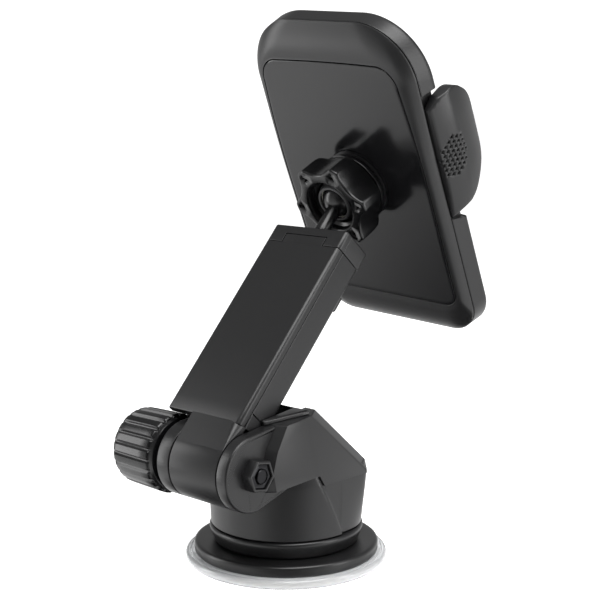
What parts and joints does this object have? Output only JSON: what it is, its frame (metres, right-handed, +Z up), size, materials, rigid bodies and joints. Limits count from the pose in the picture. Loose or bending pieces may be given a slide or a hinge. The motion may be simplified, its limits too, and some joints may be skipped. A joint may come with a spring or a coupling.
{
  "type": "car phone mount",
  "caption": "Suction-base car phone mount with a hinged telescopic arm, a ball joint and a spring-clamp cradle.",
  "frame": {"origin": "centre of the suction face, on the table", "axes": "+Z up, -Y towards the person who reads the phone, +X towards the hinge knob"},
  "size_m": [0.0827, 0.1428, 0.1948],
  "materials": {
    "clear_gel": "clear glossy",
    "black_satin": "satin",
    "black_gloss": "glossy",
    "inner_grey": "matte",
    "pale_nylon": "matte",
    "soft_pad": "matte",
    "zinc_steel": "zinc plated"
  },
  "bodies": {
    "base": {"base_housing": "black_satin", "gel_pad": "clear_gel", "cup_disc": "black_satin", "pressure_collar": "black_satin", "top_cover": "black_satin", "disc_screws": "zinc_steel", "lever_pin": "zinc_steel", "stem_spring": "zinc_steel", "hinge_nut": "zinc_steel"},
    "lever": {"suction_lever": "black_satin"},
    "stem": {"pull_stem": "pale_nylon"},
    "knob": {"hinge_knob": "black_gloss", "hinge_bolt": "zinc_steel", "knob_washer": "zinc_steel"},
    "arm": {"arm_sleeve": "black_satin", "arm_back_cover": "black_satin", "sleeve_screws": "zinc_steel", "friction_washers": "inner_grey"},
    "lock": {"lock_button": "black_satin", "lock_spring": "zinc_steel"},
    "slide": {"inner_slide": "inner_grey", "arm_head": "black_satin", "head_screws": "zinc_steel", "ball_stud": "black_gloss"},
    "liner": {"ball_liner": "pale_nylon"},
    "collet": {"collet": "inner_grey"},
    "cradle": {"back_shell": "black_satin", "back_panel": "black_gloss", "socket_cup": "black_satin", "shell_screws": "zinc_steel", "front_frame": "black_satin", "front_pad": "soft_pad", "pinion_post": "zinc_steel", "clamp_springs": "zinc_steel"},
    "star": {"star_nut": "black_gloss"},
    "left_wing": {"wing_left": "black_satin", "wing_left_pad": "soft_pad", "rack_left": "pale_nylon"},
    "right_wing": {"wing_right": "black_satin", "wing_right_pad": "soft_pad", "rack_right": "pale_nylon"},
    "pinion": {"pinion": "pale_nylon"},
    "foot": {"foot_slide": "black_satin", "foot_pads": "soft_pad"},
    "release": {"release_button": "black_satin", "release_spring": "zinc_steel"}
  },
  "joints": [
    {"name": "suction_lever_lift", "type": "hinge", "parent": "base", "child": "lever", "pos_m": [0, 0, 0.032], "axis": [-1, 0, 0], "range_deg": [0, 65]},
    {"name": "pull_stem_slide", "type": "slide", "parent": "base", "child": "stem", "axis": [0, 0, -1], "range_m": [0, 0.0016], "deforming": ["stem_spring"]},
    {"name": "arm_hinge", "type": "hinge", "parent": "base", "child": "arm", "pos_m": [0, 0.0383, 0.0426], "axis": [1, 0, 0], "range_deg": [-100, 18]},
    {"name": "hinge_knob_turn", "type": "hinge", "parent": "base", "child": "knob", "pos_m": [0, 0.0383, 0.0426], "axis": [1, 0, 0], "range_deg": [-180, 180]},
    {"name": "arm_extend", "type": "slide", "parent": "arm", "child": "slide", "axis": [0, -0.6743, 0.7385], "range_m": [0, 0.04]},
    {"name": "lock_button_press", "type": "slide", "parent": "arm", "child": "lock", "axis": [0, 0.7385, 0.6743], "range_m": [0, 0.0014], "stiffness_N_per_m": 800, "springref_m": -0.001},
    {"name": "ball_tilt", "type": "hinge", "parent": "slide", "child": "liner", "pos_m": [0, -0.02884, 0.1274], "axis": [1, 0, 0], "range_deg": [-45, 8]},
    {"name": "ball_swivel", "type": "hinge", "parent": "liner", "child": "collet", "pos_m": [0, -0.02884, 0.1274], "axis": [-0.0645, 0.4561, 0.8876], "range_deg": [-22, 22]},
    {"name": "cradle_roll", "type": "hinge", "parent": "collet", "child": "cradle", "pos_m": [0, -0.02884, 0.1274], "axis": [0, 0.8894, -0.4571], "continuous": true},
    {"name": "star_nut_turn", "type": "hinge", "parent": "cradle", "child": "star", "pos_m": [0, -0.02884, 0.1274], "axis": [0, 0.8894, -0.4571], "continuous": true},
    {"name": "pinion_turn", "type": "hinge", "parent": "cradle", "child": "pinion", "pos_m": [-0.00075, -0.03218, 0.14213], "axis": [0, 0.8894, -0.4571], "range_deg": [0, 114.59]},
    {"name": "left_wing_slide", "type": "slide", "parent": "cradle", "child": "left_wing", "axis": [0.9979, 0.0295, 0.0574], "range_m": [0, 0.012]},
    {"name": "right_wing_slide", "type": "slide", "parent": "cradle", "child": "right_wing", "axis": [-0.9979, -0.0295, -0.0574], "range_m": [0, 0.012]},
    {"name": "foot_extend", "type": "slide", "parent": "cradle", "child": "foot", "axis": [0.0645, -0.4561, -0.8876], "range_m": [0, 0.018]},
    {"name": "release_button_press", "type": "slide", "parent": "cradle", "child": "release", "axis": [-0.9979, -0.0295, -0.0574], "range_m": [0, 0.0018], "stiffness_N_per_m": 600, "springref_m": -0.001}
  ],
  "couplings": [
    {"joint": "pull_stem_slide", "follows": "suction_lever_lift", "m_per_rad": 0.0014104},
    {"joint": "right_wing_slide", "follows": "left_wing_slide", "ratio": 1},
    {"joint": "pinion_turn", "follows": "left_wing_slide", "rad_per_m": 166.67}
  ]
}
